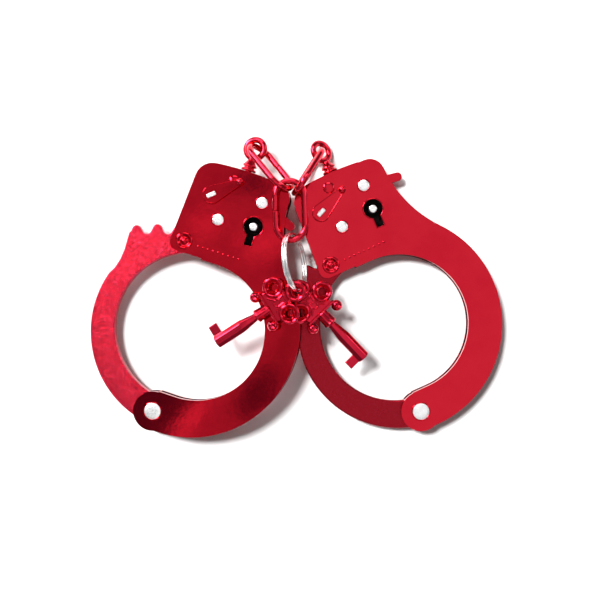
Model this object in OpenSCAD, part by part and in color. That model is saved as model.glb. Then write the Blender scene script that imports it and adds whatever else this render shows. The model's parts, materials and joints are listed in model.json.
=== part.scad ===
// Pair of hinged-arm handcuffs with a three-link chain, a split ring and two
// rosette-bow keys, laid out flat with the left cuff resting on the right arm.
// Each cuff is drawn in its own frame: origin at the hinge pin on the outer
// face of the back plate, +x to the double strand, +y to the swivel eye, +z out
// of the front plate. Units are millimetres.

/* [Cuff] */
// thickness of the front plate and of the back plate
plate_thickness = 1.6; // [1.4:0.1:1.6]
// thickness of the toothed arm
arm_thickness = 3; // [2.8:0.1:3]
// radius of the wrist opening between the two plates
opening_radius = 25.1; // [24.9:0.1:25.3]
// diameter of the hinge pin head
hinge_head = 6; // [5.8:0.1:6.4]
// number of teeth on the arm
tooth_count = 6; // [4:1:6]

/* [Lock] */
// diameter of the keyhole
keyhole_diameter = 7.3; // [7.1:0.1:7.5]
// diameter of the key post
post_diameter = 3; // [2.8:0.1:3]
// length of the release tab from its rivet
tab_length = 14.6; // [12:0.1:15]

/* [Chain and keys] */
// wire diameter of the chain links
link_wire = 2.3; // [2.1:0.1:2.4]
// outer diameter of the split ring
ring_diameter = 21.6; // [21:0.1:22]
// length of the key barrel beyond the bow crossbar
barrel_length = 20.4; // [16:0.1:21]

/* [Hidden] */
$fn = 48;
sliver = 0.01;
play = 0.2;
running_fit = 0.05;
rivet_fit = 0.02;

// layout on the table
right_pivot = [45.1, -45.1, 0];
right_turn = 24.3;
left_pivot = [-51.9, -44.7, 0];
left_turn = -18;
left_tilt = 5.4;
tilt_line_x = -75;

// heights in the cuff frame
gap = arm_thickness + 2 * play;
front_z = plate_thickness + gap;
cuff_thickness = front_z + plate_thickness;
arm_z = plate_thickness + play;
mid_z = cuff_thickness / 2;

// plate outline
opening_y = 32.6;
opening_x = 6.2;
strand_centre = [3.6, 33.4];
strand_radius = 40.1;
cap_radius = 7.2;
case_left_bottom = [-13.2, 58.2];
case_left_top = [-11, 92.6];
case_right = 24.2;
case_top = 93.1;
case_middle = 5.5;
top_bow_radius = 110;
bow_half = 11;
flank_y = 87;
flank_dx = case_right - strand_centre[0];
flank_dy = flank_y - strand_centre[1];
flank_radius = (flank_dx * flank_dx + flank_dy * flank_dy - strand_radius * strand_radius)
    / (2 * (strand_radius - flank_dx));
flank_centre = [case_right + flank_radius, flank_y];
flank_share = strand_radius / (strand_radius + flank_radius);
flank_tangent = strand_centre + flank_share * (flank_centre - strand_centre);

// rivets and lock parts
pin_radius = 2.5;
pawl_pivot = [1.5, 73.3];
release_pivot = [14.9, 83.8];
rivet_radius = 1.5;
rivet_head = 2;
head_height = 0.35;
post_centre = [14.5, 74.7];
slot_width = 3;
slot_reach = 7.1;
dome_centre = [2.9, 88.3];
dome_radius = 2;
dome_height = 0.45;
guide_centre = [-8, 62.3];
guide_radius = 2.3;
mark_start = [-2.5, 62];
mark_pitch = 1.95;
mark_count = 9;

// arm
arm_inner_centre = [2.85, 32.5];
arm_inner_radius = 27.35;
arm_outer_centre = [3.6, 31.4];
arm_outer_radius = 36.9;
tooth_pitch = 6.7;
first_tip = 113.6;
tooth_mid = 66.3;
tooth_height = 1.75;
tooth_steps = 14;
arm_end_angle = first_tip - tooth_pitch * (tooth_count - 0.75);
left_arm_turn = 0;
right_arm_turn = -2.5;

// pawl and release lever, drawn engaged; lifting turns the pawl by the rest angle
right_lift = 20;
left_lift = 33;
full_lift = 33;
link_reach = norm(release_pivot - pawl_pivot) / 2;
link_angle = atan2(release_pivot[1] - pawl_pivot[1], release_pivot[0] - pawl_pivot[0]);
fork_angle = link_angle - full_lift / 2;
crank_angle = link_angle + 180 + full_lift / 2;
nose_tip = [9, 65.7];
nose_slim = 0.45;
tab_angle = 11.3;
tab_width = 3.2;
layer_split = mid_z - 0.1;
moving_z = arm_z + 0.1;
moving_top = arm_z + arm_thickness - 0.1;
hub_radius = 2.7;
crank_pin_radius = 0.9;
fork_slot = crank_pin_radius + 0.3;
finger_reach = 7;
finger_angle = 114;

// double lock
lock_shaft = [-3.4, 81.1];
lock_shaft_radius = 1.3;
lock_big_radius = 3.3;
lock_small_radius = 1;
lock_length = 11.3;
lock_plate = 0.7;
lock_z = cuff_thickness + dome_height + 0.1;
right_lock_angle = 23.5;
left_lock_angle = 41;
locked_angle = 63;
cam_reach = 2.65;
cam_locked_direction = -58;

// swivel
swivel_x = 6;
flange_radius = 2.85;
flange_y = 93.4;
flange_thickness = 2.2;
eye_y = 101.8;
eye_ring = 3.35;
eye_wire = 1.05;
stem_radius = 1.2;
stem_head = 1.6;
block_bottom = 85.6;
block_top = 92;
block_half = 5.5;

// chain
link_length = 23.3;
link_width = 12.7;
link_end = (link_width - link_wire) / 2;
link_span = link_length - link_wire;
middle_link_top = [-2.9, 38, 14.9];
middle_link_turn = -88;
right_link_end = [-0.17, 34.6, 16.1];
left_link_end = [-3.48, 35.33, 15.52];
right_link_roll = 82;
left_link_roll = 118;
// where each outer link's near end sits in its eye, measured from the eye's centre
right_link_seat = [0.48, 1.21, -1.1];
left_link_seat = [0.41, -0.41, 1.19];
// turn of each swivel about its own stem
right_swivel_twist = 35.7;
left_swivel_twist = -8.3;

// split ring
coil_radius = 0.5;
ring_radius = ring_diameter / 2 - coil_radius;
ring_centre = [-1, 8.9, 16.6];
ring_yaw = 8;
ring_lean = 19;

// keys, drawn with the barrel along -x and the bow toward +x, ring hole at the origin
bow_radius = 3.8;
bow_hole = 1.75;
ring_disc_height = 1.5;
side_disc_height = 2.2;
bow_x = 6;
bow_y = 5.5;
crossbar_x = 13.3;
crossbar_half = 6;
crossbar_radius = 0.7;
ball_radius = 2;
web_width = 1.7;
web_height = 1.1;
barrel_radius = 2.35;
neck_radius = 1.5;
bore_radius = post_diameter / 2 + running_fit;
bore_depth = 8;
bit_width = 3.3;
bit_thickness = 1.5;
bit_reach = 6.1;
left_key = [-0.75, -1.4, 19.2];
left_key_turn = 32.6;
left_key_tilt = -10;
right_key = [0.7, -0.9, 15.8];
right_key_turn = 134;
right_key_tilt = 10;

// which sub-part to draw

// ---------------------------------------------------------------- helpers

function polar(radius, angle) = radius * [cos(angle), sin(angle)];

function unit(v) = v / norm(v);

// points of the arc that rounds corner p between its neighbours
function corner(before, p, after, radius, steps = 6) =
    let (a = unit(before - p), b = unit(after - p))
    let (half = acos(a * b) / 2, centre = p + unit(a + b) * radius / sin(half))
    let (from = p + a * radius / tan(half) - centre, to = p + b * radius / tan(half) - centre)
    let (start = atan2(from[1], from[0]), turn = atan2(to[1], to[0]) - start)
    let (sweep = turn > 180 ? turn - 360 : turn < -180 ? turn + 360 : turn)
    [for (i = [0:steps]) centre + polar(radius, start + sweep * i / steps)];

module at(p, z = 0) {
    translate([p[0], p[1], z])
        children();
}

// slabs between two heights, one for each outline
module slab(bottom, top) {
    translate([0, 0, bottom])
        for (i = [0:$children - 1])
            linear_extrude(height = top - bottom)
                children(i);
}

module disc(p, radius, bottom, top) {
    at(p, bottom)
        cylinder(r = radius, h = top - bottom);
}

// two circles joined by their outer tangents
module tapered_bar(a, b, radius_a, radius_b) {
    length = norm(b - a);
    angle = atan2(b[1] - a[1], b[0] - a[0]);
    lean = asin((radius_a - radius_b) / length);
    at(a)
        circle(radius_a);
    at(b)
        circle(radius_b);
    at(a)
        rotate(angle)
            polygon([
                polar(radius_a, 90 - lean),
                polar(radius_a, lean - 90),
                [length, 0] + polar(radius_b, lean - 90),
                [length, 0] + polar(radius_b, 90 - lean)
            ]);
}

module place_right() {
    translate(right_pivot)
        rotate(right_turn)
            children();
}

module place_left() {
    translate([tilt_line_x, 0, 0])
        rotate([0, -left_tilt, 0])
            translate(left_pivot - [tilt_line_x, 0, 0])
                rotate(left_turn)
                    children();
}

// turn about an upright axis through p
module turn_about(p, angle) {
    at(p)
        rotate(angle)
            at(-p)
                children();
}

// ---------------------------------------------------------------- plates

module case_outline() {
    bottom_right = [case_right, case_left_bottom[1]];
    top_right = [case_right, case_top - 0.9];
    polygon(concat(
        corner(case_left_top, case_left_bottom, bottom_right, 3),
        [bottom_right],
        corner(bottom_right, top_right, case_left_top, 5.5),
        corner(top_right, case_left_top, case_left_bottom, 6.5)
    ));
}

// slight bow of the case's top edge between its two corners
module bow_outline() {
    intersection() {
        translate([case_middle - bow_half, case_top - 6])
            square([2 * bow_half, 8]);
        translate([case_middle, case_top - top_bow_radius])
            circle(top_bow_radius, $fn = 180);
    }
}

module flank_outline() {
    difference() {
        polygon([
            [strand_centre[0], flank_tangent[1]],
            [strand_centre[0], flank_y],
            [case_right, flank_y],
            flank_tangent
        ]);
        translate(flank_centre)
            circle(flank_radius, $fn = 120);
    }
}

module opening_outline() {
    circle_fn = 120;
    for (x = [0, opening_x])
        translate([x, opening_y])
            circle(opening_radius, $fn = circle_fn);
    translate([0, opening_y - opening_radius])
        square([opening_x, 2 * opening_radius]);
}

module strand_outline() {
    intersection() {
        translate(strand_centre)
            circle(strand_radius, $fn = 150);
        translate([0, -cap_radius])
            square([strand_radius * 2, cap_radius + flank_tangent[1]]);
    }
}

module plate_blank(bottom, top) {
    difference() {
        slab(bottom, top) {
            strand_outline();
            circle(cap_radius);
            flank_outline();
            case_outline();
            bow_outline();
        }
        slab(bottom - 1, top + 1) {
            opening_outline();
            rivet_holes();
        }
    }
}

module rivet_holes() {
    circle(pin_radius + rivet_fit);
    for (p = [pawl_pivot, release_pivot])
        at(p)
            circle(rivet_radius + rivet_fit);
}

module keyhole_outline() {
    at(post_centre)
        circle(d = keyhole_diameter);
    translate([post_centre[0] - slot_width / 2, post_centre[1] - slot_reach])
        square([slot_width, slot_reach]);
}

module front_plate() {
    difference() {
        plate_blank(front_z, cuff_thickness);
        slab(front_z - 1, cuff_thickness + 1) {
            keyhole_outline();
            at(lock_shaft)
                circle(lock_shaft_radius + running_fit);
        }
        // pressed guide ring over the arm
        at(guide_centre, cuff_thickness - 0.5)
            difference() {
                cylinder(r = guide_radius, h = 1);
                cylinder(r = guide_radius * 0.45, h = 1);
            }
        // row of plain pips where the maker's line would be
        for (i = [0:mark_count - 1])
            at(mark_start + [i * mark_pitch, 0], cuff_thickness - 0.15)
                cylinder(r = 0.35, h = 1, $fn = 16);
    }
    // pressed dome that the lock lever snaps over
    dome_sphere = (dome_radius * dome_radius + dome_height * dome_height) / (2 * dome_height);
    intersection() {
        at(dome_centre, cuff_thickness + dome_height - dome_sphere)
            sphere(dome_sphere, $fn = 72);
        disc(dome_centre, dome_radius + 1, cuff_thickness - 0.3, cuff_thickness + 1);
    }
}

module back_plate() {
    difference() {
        plate_blank(0, plate_thickness);
        disc(post_centre, post_diameter / 2 + rivet_fit, -1, plate_thickness + 1);
    }
}

// ---------------------------------------------------------------- rivets

// shank through both plates with a low domed head on each side
module rivet(p, shank, head) {
    disc(p, shank, -head_height, cuff_thickness + head_height);
    for (side = [0, 1])
        at(p, side * cuff_thickness)
            mirror([0, 0, 1 - side])
                cylinder(r1 = head, r2 = head - head_height, h = head_height);
}

module hinge_pin() {
    rivet([0, 0], pin_radius, hinge_head / 2);
}

module case_rivets() {
    for (p = [pawl_pivot, release_pivot])
        rivet(p, rivet_radius, rivet_head);
}

module key_post() {
    radius = post_diameter / 2;
    disc(post_centre, radius, 0, cuff_thickness - 0.4);
    at(post_centre, cuff_thickness - 0.4)
        cylinder(r1 = radius, r2 = radius - 0.3, h = 0.3);
}

// ---------------------------------------------------------------- case inside

module swivel_block() {
    difference() {
        slab(plate_thickness, front_z)
            translate([swivel_x - block_half, block_bottom])
                square([2 * block_half, block_top - block_bottom]);
        // through hole for the stem and a pocket for its head
        translate([swivel_x, block_bottom - 1, mid_z])
            rotate([-90, 0, 0])
                cylinder(r = stem_radius + running_fit, h = 10);
        translate([swivel_x - 2, block_bottom + 1.6, plate_thickness - 1])
            cube([4, 2, gap + 2]);
    }
}

module pawl_spring() {
    spring_centre = [-13.7, 77];
    slab(moving_z, moving_top) {
        polygon(concat(
            [for (i = [0:10]) spring_centre + polar(8.1, -45 + 5.5 * i)],
            [for (i = [10:-1:0]) spring_centre + polar(8.5, -45 + 5.5 * i)]
        ));
    }
    foot = spring_centre + polar(8.3, -45);
    disc(foot, 0.9, plate_thickness, front_z);
}

// ---------------------------------------------------------------- arm

// rounded tooth wave between the valley and the tip radius
function tooth_wave(phase) = cos(phase) / sqrt(0.35 + 0.65 * cos(phase) * cos(phase));

function tooth_radius(angle) =
    tooth_mid + tooth_height * tooth_wave((angle - first_tip) * 360 / tooth_pitch);

// outer edge of the arm from the hinge round to the free end, closed inside the opening
module arm_edge() {
    start = first_tip + tooth_pitch / 4;
    last = (tooth_count - 0.5) * tooth_steps;
    root = 50;
    polygon(concat(
        [for (a = [266:-4:162]) arm_outer_centre + polar(arm_outer_radius, a)],
        [[-30.1, 45.2], [-29.1, 48.8], [-28.7, 52.5], [-28.8, 56], [-28.9, 59]],
        [for (i = [0:last])
            let (a = start - i * tooth_pitch / tooth_steps) polar(tooth_radius(a), a)],
        [polar(root, arm_end_angle), [0, 0]]
    ));
}

module arm() {
    difference() {
        slab(arm_z, arm_z + arm_thickness) {
            arm_edge();
            circle(cap_radius - 0.6);
        }
        slab(0, cuff_thickness) {
            translate(arm_inner_centre)
                circle(arm_inner_radius, $fn = 120);
            circle(pin_radius + running_fit);
        }
    }
}

// ---------------------------------------------------------------- pawl and release

module pawl() {
    fork_end = pawl_pivot + polar(link_reach + 1.3, fork_angle);
    finger_end = pawl_pivot + polar(finger_reach - 0.35, finger_angle);
    knee = nose_tip + [-0.6, 3];
    difference() {
        union() {
            slab(moving_z, moving_top) {
                at(pawl_pivot)
                    circle(hub_radius);
                tapered_bar(pawl_pivot, knee, 2, 1.2);
                tapered_bar(knee, nose_tip + [0, nose_slim], 1.2, nose_slim);
                tapered_bar(pawl_pivot, finger_end, 1.2, 0.35);
            }
            slab(layer_split + 0.1, moving_top)
                tapered_bar(pawl_pivot, fork_end, 2.4, 2);
        }
        disc(pawl_pivot, rivet_radius + running_fit, 0, cuff_thickness);
        slab(0, cuff_thickness)
            at(pawl_pivot)
                rotate(fork_angle)
                    translate([link_reach - 1.5, -fork_slot])
                        square([6, 2 * fork_slot]);
    }
}

module release_lever() {
    crank_end = release_pivot + polar(link_reach, crank_angle);
    tab_end = release_pivot + polar(tab_length - tab_width / 2, tab_angle);
    difference() {
        union() {
            slab(moving_z, layer_split) {
                tapered_bar(release_pivot, crank_end, 2.5, 1.4);
            }
            slab(moving_z, moving_top) {
                at(release_pivot)
                    circle(hub_radius);
                tapered_bar(release_pivot, tab_end, tab_width / 2 + 0.2, tab_width / 2);
            }
            disc(crank_end, crank_pin_radius, moving_z, moving_top);
        }
        disc(release_pivot, rivet_radius + running_fit, 0, cuff_thickness);
    }
}

// ---------------------------------------------------------------- double lock

module lock_lever(angle) {
    nub = polar(lock_length, 0);
    at(lock_shaft)
        rotate(angle) {
            slab(lock_z, lock_z + lock_plate)
                tapered_bar([0, 0], nub, lock_big_radius, lock_small_radius);
            translate([0, 0, moving_z])
                cylinder(r = lock_shaft_radius, h = lock_z + lock_plate - moving_z);
            at(nub, lock_z + 0.9)
                sphere(1.25);
            // flat-sided shaft end standing proud of the lever
            translate([-1.7, -0.8, lock_z])
                cube([3.4, 1.6, lock_plate + 0.4]);
        }
}

module lock_cam(angle) {
    at(lock_shaft)
        rotate(angle - locked_angle + cam_locked_direction)
            slab(moving_z, moving_top)
                difference() {
                    union() {
                        circle(lock_shaft_radius + 0.8);
                        tapered_bar([0, 0], [cam_reach - 0.3, 0], 1.6, 0.3);
                    }
                    circle(lock_shaft_radius + rivet_fit);
                }
}

// ---------------------------------------------------------------- swivel

module swivel(twist) {
    translate([swivel_x, 0, mid_z])
        rotate([0, twist, 0])
            swivel_at_origin();
}

// swivel with its stem along +y and its eye in the xy plane
module swivel_at_origin() {
    rotate([-90, 0, 0]) {
        translate([0, 0, block_bottom + 1.8])
            cylinder(r = stem_head, h = 1.4);
        translate([0, 0, block_bottom + 2])
            cylinder(r = stem_radius, h = flange_y - block_bottom);
        translate([0, 0, flange_y])
            cylinder(r = flange_radius, h = flange_thickness);
        translate([0, 0, flange_y + flange_thickness])
            cylinder(r1 = 1.9, r2 = 1.2, h = eye_y - eye_ring - flange_y - flange_thickness);
    }
    translate([0, eye_y, 0])
        rotate_extrude()
            translate([eye_ring, 0])
                circle(eye_wire, $fn = 32);
}

// ---------------------------------------------------------------- chain

// half turn of wire at each end and a straight wire on each side, from x = 0 to link_span
module link() {
    straight = link_span - 2 * link_end;
    wire = link_wire / 2;
    for (end = [0, 1])
        translate([link_end + end * straight, 0, 0])
            rotate(90 - 180 * end)
                rotate_extrude(angle = 180)
                    translate([link_end, 0])
                        circle(wire, $fn = 32);
    for (side = [-1, 1])
        translate([link_end - sliver, side * link_end, 0])
            rotate([0, 90, 0])
                cylinder(r = wire, h = straight + 2 * sliver, $fn = 32);
}

// link whose far end is at the point "end", pointing away from the point "from"
module link_to(end, from, roll) {
    run = end - from;
    translate(end)
        rotate([0, -asin(run[2] / norm(run)), atan2(run[1], run[0])])
            rotate([roll, 0, 0])
                translate([-link_span, 0, 0])
                    link();
}

function turned(p, a) = [p[0] * cos(a) - p[1] * sin(a), p[0] * sin(a) + p[1] * cos(a), p[2]];

function right_point(p) = right_pivot + turned(p, right_turn);

function left_point(p) =
    let (q = left_pivot + turned(p, left_turn) - [tilt_line_x, 0, 0])
    [
        tilt_line_x + q[0] * cos(left_tilt) - q[2] * sin(left_tilt),
        q[1],
        q[0] * sin(left_tilt) + q[2] * cos(left_tilt)
    ];

eye_point = [swivel_x, eye_y, mid_z];

module middle_link() {
    translate(middle_link_top)
        rotate(middle_link_turn)
            link();
}

module split_ring() {
    translate(ring_centre)
        rotate([0, 0, ring_yaw])
            rotate([0, 90 - ring_lean, 0])
                rotate_extrude($fn = 96)
                    for (side = [-1, 1])
                        translate([ring_radius, side * coil_radius * 0.9])
                            circle(coil_radius, $fn = 20);
}

// ---------------------------------------------------------------- keys

module bow_disc(p, height) {
    at(p, -height / 2)
        cylinder(r = bow_radius, h = height);
}

module key() {
    bar_x = -crossbar_x;
    bow_centres = [[0, 0], [-bow_x, bow_y], [-bow_x, -bow_y]];
    difference() {
        union() {
            bow_disc(bow_centres[0], ring_disc_height);
            for (side = [-1, 1]) {
                bow_disc([-bow_x, side * bow_y], side_disc_height);
                // web from the crossbar into each side disc
                translate([bar_x, side * bow_y - web_width / 2, -web_height / 2])
                    cube([crossbar_x - bow_x - bow_radius + 1, web_width, web_height]);
                // ball on the end of the crossbar, its seam along the bar
                translate([bar_x, side * crossbar_half, 0])
                    rotate([90, 0, 0])
                        sphere(ball_radius);
            }
            // filler between the three discs
            translate([-bow_x - 0.5, -bow_y / 2, -web_height / 2])
                cube([bow_x - bow_radius + 1.5, bow_y, web_height]);
            translate([bar_x, -crossbar_half, 0])
                rotate([-90, 0, 0])
                    cylinder(r = crossbar_radius, h = 2 * crossbar_half);
            translate([bar_x, 0, 0])
                rotate([0, -90, 0])
                    key_barrel();
        }
        for (centre = bow_centres)
            disc(centre, bow_hole, -3, 3);
    }
}

// barrel along +z from the crossbar
module key_barrel() {
    difference() {
        union() {
            translate([0, 0, -1])
                cylinder(r = neck_radius, h = 6);
            for (i = [0:2])
                translate([0, 0, 1 + 1.1 * i])
                    cylinder(r = neck_radius + 0.45, h = 0.7);
            translate([0, 0, 4.5])
                cylinder(r1 = neck_radius + 0.1, r2 = barrel_radius, h = 5);
            translate([0, 0, 9.5])
                cylinder(r = barrel_radius, h = barrel_length - 9.5);
            translate([-bit_thickness / 2, 0, barrel_length - bit_width - 0.3])
                cube([bit_thickness, bit_reach, bit_width]);
        }
        translate([0, 0, barrel_length - bore_depth])
            cylinder(r = bore_radius, h = bore_depth + 1);
    }
}

module place_key(p, turn, tilt) {
    translate(p)
        rotate([0, tilt, 0])
            rotate(turn)
                children();
}

// ---------------------------------------------------------------- sub-parts

red = [0.72, 0.05, 0.1];
bright = [0.85, 0.86, 0.88];
dark = [0.2, 0.2, 0.22];

module right_front_plate() color(red) place_right() front_plate();
module right_back_plate() color(red) place_right() back_plate();
module right_hinge_pin() color(bright) place_right() hinge_pin();
module right_case_rivets() color(bright) place_right() case_rivets();
module right_key_post() color(bright) place_right() key_post();
module right_swivel_block() color(dark) place_right() swivel_block();
module right_pawl_spring() color(dark) place_right() pawl_spring();
module right_arm() color(red) place_right() rotate(right_arm_turn) arm();
module right_pawl() color(dark) place_right() turn_about(pawl_pivot, right_lift) pawl();
module right_release_lever() color(red) place_right() turn_about(release_pivot, -right_lift) release_lever();
module right_lock_lever() color(red) place_right() lock_lever(right_lock_angle);
module right_lock_cam() color(dark) place_right() lock_cam(right_lock_angle);
module right_swivel() color(red) place_right() swivel(right_swivel_twist);

module left_front_plate() color(red) place_left() front_plate();
module left_back_plate() color(red) place_left() back_plate();
module left_hinge_pin() color(bright) place_left() hinge_pin();
module left_case_rivets() color(bright) place_left() case_rivets();
module left_key_post() color(bright) place_left() key_post();
module left_swivel_block() color(dark) place_left() swivel_block();
module left_pawl_spring() color(dark) place_left() pawl_spring();
module left_arm() color(red) place_left() rotate(left_arm_turn) arm();
module left_pawl() color(dark) place_left() turn_about(pawl_pivot, left_lift) pawl();
module left_release_lever() color(red) place_left() turn_about(release_pivot, -left_lift) release_lever();
module left_lock_lever() color(red) place_left() lock_lever(left_lock_angle);
module left_lock_cam() color(dark) place_left() lock_cam(left_lock_angle);
module left_swivel() color(red) place_left() swivel(left_swivel_twist);

module right_link_part() color(red)
    link_to(right_link_end, right_point(eye_point) + right_link_seat, right_link_roll);
module left_link_part() color(red)
    link_to(left_link_end, left_point(eye_point) + left_link_seat, left_link_roll);
module middle_link_part() color(red) middle_link();
module split_ring_part() color(bright) split_ring();
module left_key_part() color(red) place_key(left_key, left_key_turn, left_key_tilt) key();
module right_key_part() color(red) place_key(right_key, right_key_turn, right_key_tilt) key();

right_front_plate();
right_back_plate();
right_hinge_pin();
right_case_rivets();
right_key_post();
right_swivel_block();
right_pawl_spring();
right_arm();
right_pawl();
right_release_lever();
right_lock_lever();
right_lock_cam();
right_swivel();
left_front_plate();
left_back_plate();
left_hinge_pin();
left_case_rivets();
left_key_post();
left_swivel_block();
left_pawl_spring();
left_arm();
left_pawl();
left_release_lever();
left_lock_lever();
left_lock_cam();
left_swivel();
right_link_part();  // right_link
middle_link_part();  // middle_link
left_link_part();  // left_link
split_ring_part();  // split_ring
left_key_part();  // left_key
right_key_part();  // right_key
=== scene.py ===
"""Looks of the chain-linked handcuffs with their keys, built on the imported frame. Lengths are in metres."""

import json
import math

import bmesh
import bpy
import numpy as np
from mathutils import Matrix, Vector

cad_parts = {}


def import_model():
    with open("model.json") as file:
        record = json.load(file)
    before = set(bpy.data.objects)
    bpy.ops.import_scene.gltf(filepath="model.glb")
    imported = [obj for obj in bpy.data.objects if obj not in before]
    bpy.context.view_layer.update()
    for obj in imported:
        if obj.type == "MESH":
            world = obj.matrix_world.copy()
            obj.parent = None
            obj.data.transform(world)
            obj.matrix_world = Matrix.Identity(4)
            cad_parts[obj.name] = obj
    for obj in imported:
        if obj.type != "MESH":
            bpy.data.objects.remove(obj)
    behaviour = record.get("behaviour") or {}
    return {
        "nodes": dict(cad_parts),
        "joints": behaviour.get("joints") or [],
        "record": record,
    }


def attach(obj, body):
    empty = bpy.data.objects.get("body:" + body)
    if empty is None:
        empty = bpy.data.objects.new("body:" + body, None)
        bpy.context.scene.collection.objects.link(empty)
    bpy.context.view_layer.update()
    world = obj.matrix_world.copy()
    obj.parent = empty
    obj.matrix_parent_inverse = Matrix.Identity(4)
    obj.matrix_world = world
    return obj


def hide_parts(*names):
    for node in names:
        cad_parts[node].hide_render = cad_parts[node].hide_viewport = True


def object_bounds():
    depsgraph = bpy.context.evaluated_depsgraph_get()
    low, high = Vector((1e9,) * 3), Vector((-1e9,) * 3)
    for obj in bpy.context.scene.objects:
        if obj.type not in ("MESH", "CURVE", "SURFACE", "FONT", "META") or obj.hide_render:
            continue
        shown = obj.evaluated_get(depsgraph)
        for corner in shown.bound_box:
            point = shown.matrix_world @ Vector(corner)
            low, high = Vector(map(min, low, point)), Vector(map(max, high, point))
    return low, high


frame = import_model()
cad_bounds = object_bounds()

MM = 0.001
JOINTS = {j["name"]: j for j in frame["joints"]}
MOUNTS = {m["name"]: m for m in frame["record"]["mounts"]}
BODY_OF = {n: b for b, nodes in frame["record"]["behaviour"]["bodies"].items() for n in nodes}


# ---------------------------------------------------------------- places read from the frame

def joint_point(name):
    return Vector(JOINTS[name]["pos_m"])


def joint_axis(name):
    return Vector(JOINTS[name]["axis"]).normalized()


def axes_matrix(origin, x, y, z):
    columns = Matrix((x, y, z)).transposed().to_4x4()
    return Matrix.Translation(origin) @ columns


def cuff_place(side):
    """Cuff frame: origin on the hinge axis at mid thickness, y towards the chain, z out of the front plate."""
    z = joint_axis(side + "_arm_swing")
    origin = joint_point(side + "_arm_swing")
    to_lock = joint_point(side + "_lock_turn") - origin
    lean = math.atan2(LOCK_SHAFT[0], LOCK_SHAFT[1])
    y = (Matrix.Rotation(lean, 3, z) @ to_lock).normalized()
    return axes_matrix(origin, y.cross(z), y, z)


def key_place(side):
    """Key frame: origin in the ring hole, barrel along -x, z out of the bow."""
    z = joint_axis(side + "_key_swing")
    x = -Vector(MOUNTS[side + "_key_bore"]["axis"]).normalized()
    return axes_matrix(joint_point(side + "_key_swing"), x, z.cross(x), z)


def principal_place(points):
    """Centre and axes of a symmetric piece: x along its length, z across its thickness."""
    middle = points.mean(0)
    values, vectors = np.linalg.eigh(np.cov((points - middle).T))
    x, y = Vector(vectors[:, 2]), Vector(vectors[:, 1])
    z = x.cross(y)
    if z.z < 0:
        y, z = -y, -z
    local = (points - middle) @ np.array([x, y, z]).T
    shift = (local.max(0) + local.min(0)) / 2
    centre = Vector(middle) + x * shift[0] + y * shift[1] + z * shift[2]
    return axes_matrix(centre, x, y, z), [float(extent) for extent in local.max(0) - local.min(0)]


def node_points(node):
    return np.array([v.co for v in frame["nodes"][node].data.vertices], float)


# ---------------------------------------------------------------- sizes

LOCK_SHAFT = (-3.4 * MM, 81.1 * MM)
PLATE = 1.6 * MM
CUFF_HEIGHT = 6.6 * MM
TOP = CUFF_HEIGHT / 2
FLOOR_Z = cad_bounds[0].z
EDGE = 0.4 * MM
CAMERA = Vector((0.9, -4.4, 346.6)) * MM
FINE = 32


# ---------------------------------------------------------------- mesh helpers

def new_object(name, bm, place=Matrix.Identity(4), sharp=40):
    """Makes an object from a bmesh, with its vertices in the row frame and edges sharper than the angle kept."""
    bmesh.ops.recalc_face_normals(bm, faces=bm.faces)
    mesh = bpy.data.meshes.new(name)
    bm.to_mesh(mesh)
    bm.free()
    mesh.transform(place)
    mesh.polygons.foreach_set("use_smooth", [True] * len(mesh.polygons))
    mesh.set_sharp_from_angle(angle=math.radians(sharp))
    obj = bpy.data.objects.new(name, mesh)
    bpy.context.scene.collection.objects.link(obj)
    return obj


def soften(obj, width, segments=3, angle=35):
    bevel = obj.modifiers.new("edge", "BEVEL")
    bevel.width = width
    bevel.segments = segments
    bevel.limit_method = "ANGLE"
    bevel.angle_limit = math.radians(angle)
    bevel.miter_outer = "MITER_ARC"
    flats = obj.modifiers.new("flats", "WEIGHTED_NORMAL")
    flats.weight = 100


def dress(obj, body, material, stands_for=()):
    obj.data.materials.clear()
    obj.data.materials.append(material)
    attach(obj, body)
    if stands_for:
        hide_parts(*stands_for)
    return obj


def from_cad(node, width, material, angle=35):
    """The CAD shape itself, with its flats merged and its edges rounded."""
    bm = bmesh.new()
    bm.from_mesh(frame["nodes"][node].data)
    bmesh.ops.remove_doubles(bm, verts=bm.verts, dist=1e-6)
    bmesh.ops.dissolve_limit(bm, angle_limit=math.radians(0.6), verts=bm.verts, edges=bm.edges)
    obj = new_object(node + "_piece", bm)
    if width:
        soften(obj, width, angle=angle)
    return dress(obj, BODY_OF[node], material, [node])


def lathe(bm, profile, place=Matrix.Identity(4), steps=FINE):
    """Turns a profile of (radius, height) points about z. A radius of nought closes on the axis."""
    rings = []
    for radius, height in profile:
        if radius < 1e-7:
            rings.append([bm.verts.new(place @ Vector((0, 0, height)))])
            continue
        turn = [2 * math.pi * i / steps for i in range(steps)]
        rings.append([bm.verts.new(place @ Vector((radius * math.cos(a), radius * math.sin(a), height)))
                      for a in turn])
    for low, high in zip(rings, rings[1:]):
        skin(bm, low, high)


def skin(bm, low, high):
    """Faces between two rings of vertices, either of which may be a single point."""
    count = max(len(low), len(high))
    for i in range(count):
        k = (i + 1) % count
        corners = [low[i % len(low)], low[k % len(low)], high[k % len(high)], high[i % len(high)]]
        unique = list(dict.fromkeys(corners))
        if len(unique) > 2:
            bm.faces.new(unique)


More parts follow.
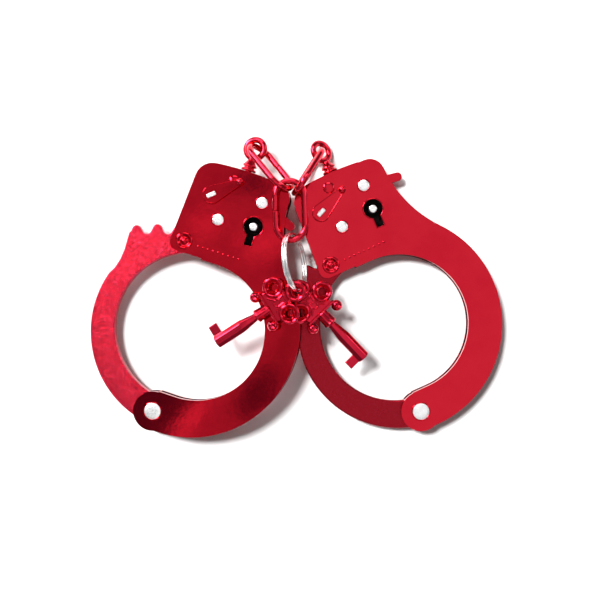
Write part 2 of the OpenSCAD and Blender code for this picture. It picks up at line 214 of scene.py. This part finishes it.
def tube(bm, points, radius, closed=False, steps=20, cap=True):
    """A round wire along a list of points."""
    count = len(points)
    rings = []
    side = None
    for i, p in enumerate(points):
        before = points[i - 1] if closed or i else p
        after = points[(i + 1) % count] if closed or i < count - 1 else p
        along = (after - before).normalized()
        if side is None:
            side = along.orthogonal().normalized()
        side = (side - along * side.dot(along)).normalized()
        other = along.cross(side)
        turn = [2 * math.pi * k / steps for k in range(steps)]
        rings.append([bm.verts.new(p + radius * (side * math.cos(a) + other * math.sin(a))) for a in turn])
    for low, high in zip(rings, rings[1:]):
        skin(bm, low, high)
    if closed:
        skin(bm, rings[-1], rings[0])
    elif cap:
        bm.faces.new(rings[0])
        bm.faces.new(rings[-1])


def prism(bm, outline, bottom, top, place=Matrix.Identity(4)):
    low = [bm.verts.new(place @ Vector((x, y, bottom))) for x, y in outline]
    high = [bm.verts.new(place @ Vector((x, y, top))) for x, y in outline]
    skin(bm, low, high)
    bm.faces.new(low)
    bm.faces.new(high)


def arc(centre, radius, start, end, steps):
    turn = [math.radians(start + (end - start) * i / steps) for i in range(steps + 1)]
    return [(centre[0] + radius * math.cos(a), centre[1] + radius * math.sin(a)) for a in turn]


def moved(x, y, z=0):
    return Matrix.Translation((x, y, z))


# ---------------------------------------------------------------- materials

def material(name):
    mat = bpy.data.materials.new(name)
    mat.use_nodes = True
    nodes, links = mat.node_tree.nodes, mat.node_tree.links
    return mat, nodes, links, nodes["Principled BSDF"]


def noise(nodes, links, scale, detail=4, rough=0.6):
    place = nodes.new("ShaderNodeTexCoord")
    texture = nodes.new("ShaderNodeTexNoise")
    texture.inputs["Scale"].default_value = scale
    texture.inputs["Detail"].default_value = detail
    texture.inputs["Roughness"].default_value = rough
    links.new(place.outputs["Object"], texture.inputs["Vector"])
    return texture.outputs["Fac"]


def ramp(nodes, links, source, stops):
    """Colour ramp from (position, colour) stops. A colour may be one number."""
    node = nodes.new("ShaderNodeValToRGB")
    elements = node.color_ramp.elements
    while len(elements) < len(stops):
        elements.new(0.5)
    for element, (position, colour) in zip(elements, stops):
        element.position = position
        rgb = (colour,) * 3 if isinstance(colour, (int, float)) else colour
        element.color = (*rgb, 1)
    links.new(source, node.inputs["Fac"])
    return node.outputs["Color"]


def bump(nodes, links, shader, source, strength, distance):
    node = nodes.new("ShaderNodeBump")
    node.inputs["Strength"].default_value = strength
    node.inputs["Distance"].default_value = distance
    links.new(source, node.inputs["Height"])
    links.new(node.outputs["Normal"], shader.inputs["Normal"])


def candy_red(name, light, dark, roughness, coat, peel):
    """Red lacquer over bright plating: cloudy depth in the colour, fine scuffs, and a slight orange peel."""
    mat, nodes, links, shader = material(name)
    clouds = noise(nodes, links, 90, 3)
    links.new(ramp(nodes, links, clouds, [(0.3, dark), (0.62, light)]), shader.inputs["Base Color"])
    shader.inputs["Metallic"].default_value = 1
    scuffs = noise(nodes, links, 1400, 6, 0.75)
    links.new(ramp(nodes, links, scuffs, [(0.35, roughness), (0.75, roughness * 1.9)]), shader.inputs["Roughness"])
    shader.inputs["Coat Weight"].default_value = coat
    shader.inputs["Coat Roughness"].default_value = 0.06
    bump(nodes, links, shader, noise(nodes, links, 260, 2), peel, 0.0002)
    return mat


def sparkle_red(name, level, grit):
    """Candy coat over a blasted face: each grain of the face tilts its own way, and each grain gets its own tone,
    the brightest grains paler as painted glints. Grit sets how much it sparkles.
    """
    mat, nodes, links, shader = material(name)
    place = nodes.new("ShaderNodeTexCoord")
    grain = nodes.new("ShaderNodeTexVoronoi")
    grain.inputs["Scale"].default_value = 3800
    links.new(place.outputs["Object"], grain.inputs["Vector"])
    # Random tone per grain; the top of the range is brighter and paler: painted glints.
    low, high = 1 - 0.45 * grit, 1 + 0.7 * grit
    tone = [(0.1, low, 0.7), (0.55, 1, 1), (0.9, high, 1 + 5 * grit)]
    stops = [(at, (0.62 * level * glow, 0.016 * level * pale, 0.036 * level * pale)) for at, glow, pale in tone]
    links.new(ramp(nodes, links, grain.outputs["Color"], stops), shader.inputs["Base Color"])
    shader.inputs["Metallic"].default_value = 1
    links.new(ramp(nodes, links, noise(nodes, links, 500), [(0.3, 0.18), (0.7, 0.28)]), shader.inputs["Roughness"])
    shader.inputs["Coat Weight"].default_value = 0.04
    bump(nodes, links, shader, grain.outputs["Color"], grit, 0.00012)
    return mat


def bright_metal(name, tone, roughness):
    mat, nodes, links, shader = material(name)
    links.new(ramp(nodes, links, noise(nodes, links, 700), [(0.3, tone * 0.86), (0.7, tone)]),
              shader.inputs["Base Color"])
    shader.inputs["Metallic"].default_value = 1
    scuffs = noise(nodes, links, 2200, 6, 0.7)
    links.new(ramp(nodes, links, scuffs, [(0.3, roughness), (0.8, roughness * 2.2)]), shader.inputs["Roughness"])
    bump(nodes, links, shader, scuffs, 0.12, 0.0001)
    return mat


RED = candy_red("red_plating", (0.58, 0.014, 0.030), (0.54, 0.010, 0.026), 0.05, 0.05, 0.02)
RED_LEFT = candy_red("red_plating_wavy", (0.60, 0.008, 0.022), (0.50, 0.005, 0.018), 0.05, 0.05, 0.06)
RED_WIRE = candy_red("red_wire", (0.66, 0.012, 0.036), (0.56, 0.008, 0.026), 0.08, 0.2, 0.10)
RED_KEY = candy_red("red_key_metal", (0.62, 0.010, 0.040), (0.48, 0.005, 0.024), 0.08, 0.2, 0.2)
# The right arm's copy is the same sparkle red at about half the level: painted shade.
RED_ARM = {"left": sparkle_red("red_satin_arm", 0.9, 0.65), "right": sparkle_red("red_satin_arm_shaded", 0.46, 0.12)}
# Near-black material for the back plate's inner face: painted shade for the inside of the case.
INSIDE_SHADE = bright_metal("case_inside_painted_shade", 0.02, 0.6)
SILVER = bright_metal("bright_rivet", 1.0, 0.2)
RING_STEEL = bright_metal("split_ring_steel", 0.80, 0.14)
# Very dark steel tone on the lock parts inside the case: painted shade of the case's inside.
LOCK_STEEL = bright_metal("lock_steel", 0.10, 0.4)


# ---------------------------------------------------------------- cuffs

def domed_head(bm, place, radius, rise):
    """Low rivet head with a soft dome and a crisp rim."""
    profile = [(0, rise)]
    for step in range(1, 7):
        share = step / 6
        profile.append((radius * share, rise * (1 - 0.6 * share ** 5)))
    profile += [(radius, -0.1 * MM), (0, -0.1 * MM)]
    lathe(bm, profile, place)


def paint_inside_shade(obj, side):
    """The back plate's inner face, seen only down the keyhole, is painted near-black: painted shade for the dark
    inside of the case.
    """
    up = joint_axis(side + "_arm_swing")
    obj.data.materials.append(INSIDE_SHADE)
    for face in obj.data.polygons:
        if face.normal.dot(up) > 0.9:
            face.material_index = 1


def red_collar(side, name, x, y, radius, wire, mat):
    """Rolled red rim round a rivet head."""
    bm = bmesh.new()
    circle = [Vector((x + radius * math.cos(a), y + radius * math.sin(a), TOP)) for a in turn_steps(40)]
    tube(bm, circle, wire, closed=True, steps=10)
    dress(new_object(side + name, bm, cuff_place(side), 60), side + "_cuff", mat)


def turn_steps(count):
    return [2 * math.pi * i / count for i in range(count)]


def keyhole_rim(side, mat):
    """Thin raised burr along the keyhole's outline."""
    radius, half, reach = 3.7 * MM, 1.55 * MM, 7.15 * MM
    start = math.degrees(math.asin(half / radius))
    outline = arc((0, 0), radius, start - 90, 270 - start, 40) + [(-half, -reach), (half, -reach)]
    bm = bmesh.new()
    path = [Vector((KEY_POST[0] + x, KEY_POST[1] + y, TOP - 0.02 * MM)) for x, y in outline]
    tube(bm, path, 0.24 * MM, closed=True, steps=10)
    dress(new_object(side + "_keyhole_rim", bm, cuff_place(side), 60), side + "_cuff", mat)


def stamped_pips(side, mat):
    bm = bmesh.new()
    radius, rise = 0.42 * MM, 0.2 * MM
    profile = [(radius * math.sin(a), rise * math.cos(a)) for a in np.linspace(0, math.pi / 2, 5)]
    profile[0] = (0, rise)
    for i in range(PIP_COUNT):
        lathe(bm, profile + [(0, -0.1 * MM)], moved(PIPS[0] + PIP_PITCH * i, PIPS[1], TOP), 12)
    dress(new_object(side + "_pips", bm, cuff_place(side), 60), side + "_cuff", mat)


def rivet_piece(side, node, spots, shank, head):
    bm = bmesh.new()
    for x, y in spots:
        at = moved(x, y)
        lathe(bm, [(0, -TOP), (shank, -TOP), (shank, TOP), (0, TOP)], at)
        domed_head(bm, at @ moved(0, 0, TOP), head, HEAD_RISE)
        domed_head(bm, at @ Matrix.Rotation(math.pi, 4, "X") @ moved(0, 0, TOP), head, HEAD_RISE)
    obj = new_object(node + "_piece", bm, cuff_place(side), 50)
    return dress(obj, BODY_OF[node], SILVER, [node])


HEAD_RISE = 0.35 * MM
PAWL_PIVOT = (1.5 * MM, 73.3 * MM)
RELEASE_PIVOT = (14.9 * MM, 83.8 * MM)
KEY_POST = (14.5 * MM, 74.7 * MM)
GUIDE = (-8 * MM, 62.3 * MM)
GUIDE_RADIUS = 2.3 * MM
PIPS = (-2.5 * MM, 62 * MM)
PIP_PITCH = 1.95 * MM
PIP_COUNT = 9


def key_post_piece(side):
    node = side + "_key_post"
    bm = bmesh.new()
    radius = 1.5 * MM
    top = TOP - 0.1 * MM
    profile = [(0, -TOP), (radius, -TOP), (radius, top - 0.5 * MM)]
    profile += [(radius - 0.35 * MM + 0.35 * MM * math.cos(a), top - 0.35 * MM + 0.35 * MM * math.sin(a))
                for a in (0.5, 1.0, 1.57)]
    profile += [(0.3 * MM, top), (0.22 * MM, top - 0.15 * MM), (0, top - 0.15 * MM)]
    lathe(bm, profile, moved(*KEY_POST))
    obj = new_object(node + "_piece", bm, cuff_place(side), 50)
    return dress(obj, BODY_OF[node], SILVER, [node])


def guide_dimple(side, mat):
    """Pressed ring with a rolled rim, a groove and a raised middle."""
    bm = bmesh.new()
    shape = [(0, 0.34), (0.45, 0.3), (0.9, 0.1), (1.15, -0.2), (1.45, -0.4), (1.8, -0.35), (2.15, 0.02), (2.4, 0.24),
             (2.65, 0.3), (2.95, 0.22), (3.15, 0.02), (3.2, -0.1), (2.3, -0.45), (0, -0.45)]
    lathe(bm, [(r * MM, z * MM) for r, z in shape], moved(GUIDE[0], GUIDE[1], TOP), 48)
    obj = new_object(side + "_guide_dimple", bm, cuff_place(side), 70)
    return dress(obj, side + "_cuff", mat)


def lock_dome(side, mat):
    bm = bmesh.new()
    radius = 2.1 * MM
    rise = 0.48 * MM
    profile = [(radius * math.sin(a), rise * math.cos(a)) for a in np.linspace(0, math.pi / 2, 12)]
    profile[0] = (0, rise)
    profile += [(radius, -0.2 * MM), (0, -0.2 * MM)]
    lathe(bm, profile, moved(2.9 * MM, 88.3 * MM, TOP), 40)
    obj = new_object(side + "_lock_dome", bm, cuff_place(side), 60)
    return dress(obj, side + "_cuff", mat)


def teardrop(big, small, length, steps=18):
    lean = math.degrees(math.asin((big - small) / length))
    return arc((0, 0), big, 90 - lean, 270 + lean, steps * 2) + arc((length, 0), small, lean - 90, 90 - lean, steps)


def lock_lever_piece(side, mat):
    """Pressed teardrop lever with a rolled rim, a ball nub and the flat-sided end of its shaft."""
    node = side + "_lock_lever"
    body = BODY_OF[node]
    turn = lever_turn(side)
    place = cuff_place(side) @ moved(*LOCK_SHAFT) @ Matrix.Rotation(turn, 4, "Z")
    base = TOP + 0.55 * MM
    big, small, length = 3.3 * MM, 1.0 * MM, 11.3 * MM
    bm = bmesh.new()
    prism(bm, teardrop(big, small, length), base, base + 0.65 * MM)
    lathe(bm, [(0, -TOP + 2 * MM), (1.3 * MM, -TOP + 2 * MM), (1.3 * MM, base + 0.1 * MM), (0, base + 0.1 * MM)])
    obj = new_object(node + "_piece", bm, place, 35)
    soften(obj, 0.25 * MM)
    dress(obj, body, mat, [node])
    bm = bmesh.new()
    rim = [Vector((x, y, base + 0.62 * MM)) for x, y in teardrop(big - 0.2 * MM, small - 0.1 * MM, length)]
    tube(bm, rim, 0.17 * MM, closed=True, steps=10)
    dress(new_object(side + "_lever_rim", bm, place, 60), body, mat)
    bm = bmesh.new()
    nub = moved(length, 0, base + 0.75 * MM)
    lathe(bm, [(1.35 * MM * math.sin(a), 1.35 * MM * math.cos(a)) for a in np.linspace(0, math.pi, 18)], nub)
    dress(new_object(side + "_lever_nub", bm, place, 80), body, RED_WIRE)
    bm = bmesh.new()
    prism(bm, [(-1.75 * MM, -0.8 * MM), (1.75 * MM, -0.8 * MM), (1.75 * MM, 0.8 * MM), (-1.75 * MM, 0.8 * MM)],
          base + 0.3 * MM, base + 1.0 * MM)
    obj = new_object(side + "_lever_shaft_end", bm, place, 35)
    soften(obj, 0.28 * MM)
    dress(obj, body, SILVER)


def lever_turn(side):
    """Direction of the lever's nub in the cuff frame, from the lever's own vertices."""
    flat = np.array(cuff_place(side).inverted())
    points = node_points(side + "_lock_lever")
    local = points @ flat[:3, :3].T + flat[:3, 3]
    away = local[:, :2] - np.array(LOCK_SHAFT)
    reach = np.hypot(away[:, 0], away[:, 1])
    far = away[reach > reach.max() * 0.9].mean(0)
    return math.atan2(far[1], far[0])


def swivel_piece(side):
    """Flanged stem turned in one piece with its eye."""
    node = side + "_swivel"
    eye = joint_point("right_link_swing" if side == "right" else "left_eye_swing")
    points = node_points(node)
    near = points[np.linalg.norm(points - np.array(eye), axis=1) < 4.6 * MM]
    place, _ = principal_place(near)
    normal = place.col[2].xyz
    stem = joint_axis(side + "_swivel_turn")
    stem_place = axes_matrix(eye, stem.cross(normal).normalized(), normal, stem)
    bm = bmesh.new()
    middle, wire = 3.4 * MM, 1.15 * MM
    circle = [eye + middle * (stem_place.col[0].xyz * math.cos(a) + stem * math.sin(a))
              for a in np.linspace(0, 2 * math.pi, 49)[:-1]]
    tube(bm, circle, wire, closed=True)
    flange = -8.4
    shape = [(0, -7), (1.2, -7), (1.2, 0), (2.5, 0), (2.8, 0.15), (2.85, 0.5), (2.7, 0.85), (2.1, 1.0), (1.95, 1.25),
             (2.0, 1.5), (2.45, 1.65), (2.65, 1.9), (2.55, 2.2), (2.1, 2.8), (1.6, 3.5), (1.25, 4.2), (1.15, 4.9), (0, 4.9)]
    profile = [(r * MM, (z + flange) * MM) for r, z in shape]
    lathe(bm, profile, stem_place)
    obj = new_object(node + "_piece", bm, Matrix.Identity(4), 60)
    return dress(obj, BODY_OF[node], RED_WIRE, [node])


def cuff(side, mat):
    from_cad(side + "_front_plate", EDGE, mat)
    paint_inside_shade(from_cad(side + "_back_plate", EDGE, mat), side)
    from_cad(side + "_arm", 2 * EDGE, RED_ARM[side])
    from_cad(side + "_release_lever", EDGE, mat)
    for node in ("_swivel_block", "_pawl_spring", "_pawl", "_lock_cam"):
        from_cad(side + node, 0.1 * MM, LOCK_STEEL)
    rivet_piece(side, side + "_hinge_pin", [(0, 0)], 2.5 * MM, 3.0 * MM)
    rivet_piece(side, side + "_case_rivets", [PAWL_PIVOT, RELEASE_PIVOT], 1.5 * MM, 2.0 * MM)
    red_collar(side, "_pawl_rivet_rim", *PAWL_PIVOT, 2.2 * MM, 0.26 * MM, mat)
    red_collar(side, "_release_rivet_rim", *RELEASE_PIVOT, 2.2 * MM, 0.26 * MM, mat)
    red_collar(side, "_hinge_rim", 0, 0, 3.15 * MM, 0.24 * MM, mat)
    keyhole_rim(side, mat)
    stamped_pips(side, mat)
    key_post_piece(side)
    guide_dimple(side, mat)
    lock_dome(side, mat)
    lock_lever_piece(side, mat)
    swivel_piece(side)


# ---------------------------------------------------------------- chain and split ring

def link_piece(node):
    """Bent wire link with the cut where its two ends meet."""
    place, size = principal_place(node_points(node))
    wire = size[2] / 2
    end = size[1] / 2 - wire
    straight = size[0] / 2 - wire - end
    gap = 0.12 * MM
    path = [(gap, -end)] + arc((straight, 0), end, -90, 90, 20) + arc((-straight, 0), end, 90, 270, 20)
    path.append((-gap, -end * 1.04))
    bm = bmesh.new()
    tube(bm, [Vector((x, y, 0)) for x, y in path], wire, steps=24)
    obj = new_object(node + "_piece", bm, place, 50)
    soften(obj, 0.12 * MM, 2, 60)
    return dress(obj, BODY_OF[node], RED_WIRE, [node])


def split_ring_piece():
    """Two turns of spring wire lying side by side, with a step where they cross over."""
    place, size = principal_place(node_points("split_ring"))
    wire = 0.5 * MM
    radius = size[0] / 2 - wire
    offset = wire * 0.96
    turns = 1.96
    points = []
    for i in range(161):
        share = i / 160
        a = 2 * math.pi * turns * share
        blend = min(max((share - 0.44) / 0.12, 0), 1)
        blend = blend * blend * (3 - 2 * blend)
        points.append(Vector((radius * math.cos(a), radius * math.sin(a), offset * (2 * blend - 1))))
    bm = bmesh.new()
    tube(bm, points, wire, steps=16)
    obj = new_object("split_ring_piece", bm, place, 50)
    return dress(obj, "split_ring", RING_STEEL, ["split_ring"])


# ---------------------------------------------------------------- keys

def rosette(bm, x, y, scale, hole):
    """Cast rose: a thick outer bead, a groove, an inner ring and a hollow middle, the same on both faces."""
    half = [(hole, 0.35), (hole + 0.1, 0.62), (1.95, 0.82), (2.2, 0.62), (2.35, 0.45), (2.55, 0.72), (2.9, 1.0),
            (3.25, 1.02), (3.6, 0.75), (3.8, 0.3)]
    profile = [(r * MM, z * scale * MM) for r, z in half]
    profile += [(r * MM, -z * scale * MM) for r, z in reversed(half)]
    profile.append(profile[0])
    lathe(bm, profile, moved(x * MM, y * MM), 36)


def dimpled_ball(bm, x, y, radius):
    profile = [(0, radius * 0.62), (0.35 * radius, radius * 0.66), (0.5 * radius, radius * 0.84)]
    profile += [(radius * math.sin(a), radius * math.cos(a)) for a in np.linspace(0.66, math.pi, 14)]
    profile[-1] = (0, -radius)
    lathe(bm, profile, moved(x * MM, y * MM), 28)


def barrel_length():
    """How far the barrel's mouth is from the crossbar, from the bore mount's place."""
    bore = MOUNTS["left_key_bore"]
    mouth = (Vector(bore["pos_m"]) - joint_point("left_key_swing")).length + bore["dims"]["length_mm"] * MM / 2
    return mouth - 13.3 * MM


BARREL_LENGTH = barrel_length()


def key_piece(side):
    node = side + "_key"
    place = key_place(side)
    bar = -13.3
    bm = bmesh.new()
    rosette(bm, 0, 0, 0.75, 1.7)
    for y in (-5.5, 5.5):
        rosette(bm, -6, y, 1.05, 1.55)
    for y in (-6, 6):
        dimpled_ball(bm, bar, y, 2.0 * MM)
    dress(new_object(node + "_bow", bm, place, 60), BODY_OF[node], RED_KEY, [node])

    ridge = bar + 2.3
    bm = bmesh.new()
    web = [(ridge, -5.4), (ridge + 2, -5.8), (-7.5, -2.6), (-3.2, -2.4), (-3.2, 2.4), (-7.5, 2.6), (ridge + 2, 5.8),
           (ridge, 5.4)]
    prism(bm, [(x * MM, y * MM) for x, y in web], -0.35 * MM, 0.35 * MM)
    for y in (-6, 6):
        prism(bm, [(x * MM, v * MM) for x, v in neck(bar, ridge, y)], -0.6 * MM, 0.6 * MM)
    rail = [(ridge - 0.7, -6.4), (ridge + 0.1, -6.4), (ridge + 0.1, 6.4), (ridge - 0.7, 6.4)]
    prism(bm, [(x * MM, y * MM) for x, y in rail], -1.5 * MM, 1.5 * MM)
    obj = new_object(node + "_web", bm, place, 35)
    soften(obj, 0.22 * MM)
    dress(obj, BODY_OF[node], RED_KEY)

    bm = bmesh.new()
    for x, y, start, end in ((-6, -5.5, 55, 150), (-6, 5.5, 210, 305), (0, 0, 140, 220)):
        for z in (-0.45, 0.45):
            scroll = [Vector((px, py, z)) * MM for px, py in arc((x, y), 4.35, start, end, 18)]
            tube(bm, scroll, 0.38 * MM, steps=10)
    for z in (-0.45, 0.45):
        boss = [Vector((px, py, z)) * MM for px, py in arc((-7.6, 0), 1.25, 0, 345, 24)]
        tube(bm, boss, 0.34 * MM, closed=True, steps=10)
    dress(new_object(node + "_scrolls", bm, place, 60), BODY_OF[node], RED_KEY)

    along = place @ moved(bar * MM, 0) @ Matrix.Rotation(-math.pi / 2, 4, "Y")
    bm = bmesh.new()
    collar(bm)
    dress(new_object(node + "_collar", bm, along, 50), BODY_OF[node], RED_KEY)
    bm = bmesh.new()
    barrel(bm)
    obj = new_object(node + "_barrel", bm, along, 25)
    soften(obj, 0.15 * MM, 2, 25)
    dress(obj, BODY_OF[node], RED_KEY)


def neck(bar, ridge, y):
    return [(bar, y - 0.7), (ridge, y - 0.9 if y > 0 else y - 0.3), (ridge, y + 0.3 if y > 0 else y + 0.9), (bar, y + 0.7)]


def collar(bm):
    """Fluted collar between the bow and the barrel."""
    flutes, steps = 12, 72
    heights = [(-2.4, 1.5), (-2.0, 1.9), (-1.6, 2.0), (2.2, 2.15), (2.5, 2.4), (2.9, 2.45), (3.2, 2.2), (3.4, 1.6)]
    rings = []
    for height, radius in heights:
        depth = 0.14 if -1.8 < height < 2.3 else 0
        ring = []
        for i in range(steps):
            a = 2 * math.pi * i / steps
            r = radius + depth * math.cos(flutes * a)
            ring.append(bm.verts.new(Vector((r * math.cos(a), r * math.sin(a), height)) * MM))
        rings.append(ring)
    for low, high in zip(rings, rings[1:]):
        skin(bm, low, high)
    bm.faces.new(rings[0])
    bm.faces.new(rings[-1])


def barrel(bm):
    """Eight-sided barrel that swells to its full size, bored at the tip, with the flat bit on one side."""
    tip, bore, depth = BARREL_LENGTH / MM, 1.55, 8
    outline = [(1.5, 3.2), (1.6, 4.2), (1.85, 5.8), (2.35, 9.0), (2.45, 10), (2.45, tip - 0.3), (2.3, tip),
               (bore, tip), (bore, tip - depth), (0, tip - depth)]
    profile = [(r * MM, z * MM) for r, z in [(0, 3.2)] + outline]
    lathe(bm, profile, Matrix.Rotation(math.pi / 8, 4, "Z"), 8)
    width, reach, thick = 3.3, 6.1, 0.75
    low, high = tip - width - 0.3, tip - 0.3
    flat = [(-thick, 1.7), (thick, 1.7), (thick, reach), (-thick, reach)]
    prism(bm, [(x * MM, y * MM) for x, y in flat], low * MM, high * MM)


# ---------------------------------------------------------------- build

cuff("right", RED)
cuff("left", RED_LEFT)
for link in ("right_link", "middle_link", "left_link"):
    link_piece(link)
split_ring_piece()
key_piece("left")
key_piece("right")


# ---------------------------------------------------------------- stage, light and camera

def floor():
    bm = bmesh.new()
    half = 1.5
    corners = [(-half, -half), (half, -half), (half, half), (-half, half)]
    bm.faces.new([bm.verts.new((x, y, FLOOR_Z - 0.05 * MM)) for x, y in corners])
    obj = new_object("floor", bm)
    mat, nodes, links, shader = material("floor_paper")
    links.new(ramp(nodes, links, noise(nodes, links, 40), [(0.3, 0.86), (0.7, 0.88)]), shader.inputs["Base Color"])
    shader.inputs["Roughness"].default_value = 0.9
    shader.inputs["Specular IOR Level"].default_value = 0.1
    obj.data.materials.append(mat)


def mirrored(x, y):
    """Direction in which the left cuff's front, at a place on the page in mm, mirrors the camera."""
    look = (Vector((x, y, 12)) * MM - CAMERA).normalized()
    normal = joint_axis("left_arm_swing")
    return look - 2 * look.dot(normal) * normal


# dark and bright cards over the table: place on the left cuff where each shows, half sizes, turn, level, softness
CARDS = [
    ((-54, -42), (16, 26), -35, 0.13, 0.06),
    ((-40, -49), (3.4, 18), -35, 1.15, 0.4),
    ((-13, -37), (8, 17), -38, 0.15, 0.5),
    ((-2, -20), (7, 20), -15, 0.42, 0.6),
    ((-16, 38), (8, 5), -15, 0.16, 0.5),
    ((-25, 35), (8, 3), 15, 0.38, 0.7),
    ((-2, 4), (6, 12), 10, 0.36, 0.7),
    ((-33, 23), (9, 7), 0, 1.1, 0.9),
    ((-12, 17), (11, 9), 30, 1.05, 0.8),
]
# softboxes: direction, half sizes, turn, level
BOXES = [
    ((-0.66, 0.44), (0.12, 0.32), 30, 26),
    ((-0.10, 0.74), (0.34, 0.12), 0, 7),
    ((0.74, 0.30), (0.09, 0.26), -20, 4),
    ((0.2, -0.78), (0.35, 0.07), 10, 2),
]


def world():
    """A pale dome, brightest overhead, with cards that the tilted left cuff mirrors, and softboxes round it."""
    made = bpy.data.worlds.new("studio")
    bpy.context.scene.world = made
    made.use_nodes = True
    nodes, links = made.node_tree.nodes, made.node_tree.links
    place = nodes.new("ShaderNodeTexCoord").outputs["Generated"]
    parts = nodes.new("ShaderNodeSeparateXYZ")
    links.new(place, parts.inputs["Vector"])
    total = ramp(nodes, links, parts.outputs["Z"], [(0.0, 0.25), (0.5, 0.22), (0.80, 0.45), (0.95, 1.0)])
    left = mirrored(-30, 0)
    total = card(nodes, links, place, total, (left.x - 0.05, left.y), (0.19, 0.30), 0, 0.6, 0.3)
    per_mm = (mirrored(-29, 0) - left).length
    for (x, y), size, turn, level, softness in CARDS:
        spot = mirrored(x, y)
        half = (size[0] * per_mm, size[1] * per_mm)
        total = card(nodes, links, place, total, (spot.x, spot.y), half, turn, level, softness)
    for centre, half, turn, level in BOXES:
        total = card(nodes, links, place, total, centre, half, turn, level, 0.15)
    seen_by = nodes.new("ShaderNodeLightPath")
    mix = nodes.new("ShaderNodeMix")
    mix.data_type = "RGBA"
    mix.inputs["B"].default_value = (0.16, 0.16, 0.16, 1)
    links.new(seen_by.outputs["Is Diffuse Ray"], mix.inputs["Factor"])
    links.new(total, mix.inputs["A"])
    behind = nodes.new("ShaderNodeMix")
    behind.data_type = "RGBA"
    behind.inputs["B"].default_value = (1, 1, 1, 1)
    links.new(seen_by.outputs["Is Camera Ray"], behind.inputs["Factor"])
    links.new(mix.outputs["Result"], behind.inputs["A"])
    links.new(behind.outputs["Result"], nodes["Background"].inputs["Color"])


def card(nodes, links, direction, below, centre, half, turn, level, softness):
    """Lays a rounded card of one brightness over the directions near its centre."""
    mapping = nodes.new("ShaderNodeMapping")
    mapping.vector_type = "TEXTURE"
    mapping.inputs["Location"].default_value = (*centre, 0)
    mapping.inputs["Rotation"].default_value = (0, 0, math.radians(turn))
    mapping.inputs["Scale"].default_value = (*half, 1000)
    links.new(direction, mapping.inputs["Vector"])
    length = nodes.new("ShaderNodeVectorMath")
    length.operation = "LENGTH"
    links.new(mapping.outputs["Vector"], length.inputs[0])
    shape = ramp(nodes, links, length.outputs["Value"], [(1 - softness, 1.0), (1.0, 0.0)])
    mix = nodes.new("ShaderNodeMix")
    mix.data_type = "RGBA"
    cool = 1.5 if level < 0.2 else 1
    mix.inputs["B"].default_value = (level, level, level * cool, 1)
    links.new(shape, mix.inputs["Factor"])
    links.new(below, mix.inputs["A"])
    return mix.outputs["Result"]


def key_light():
    """Soft light from the upper left, for the shadow at the lower right."""
    lamp = bpy.data.lights.new("key", "SUN")
    lamp.energy = 4.2
    lamp.angle = math.radians(13)
    obj = bpy.data.objects.new("key", lamp)
    obj.visible_glossy = False
    obj.rotation_euler = Vector((-0.42, 0.36, 1)).to_track_quat("Z", "Y").to_euler()
    bpy.context.scene.collection.objects.link(obj)


def camera():
    lens = bpy.data.cameras.new("camera")
    width = 219 * MM
    lens.angle = 2 * math.atan(width / 2 / (CAMERA.z - CUFF_HEIGHT))
    obj = bpy.data.objects.new("camera", lens)
    obj.location = CAMERA
    bpy.context.scene.collection.objects.link(obj)
    bpy.context.scene.camera = obj


floor()
world()
key_light()
camera()
view = bpy.context.scene.view_settings
view.view_transform = "Standard"
view.look = "None"
view.exposure = 0
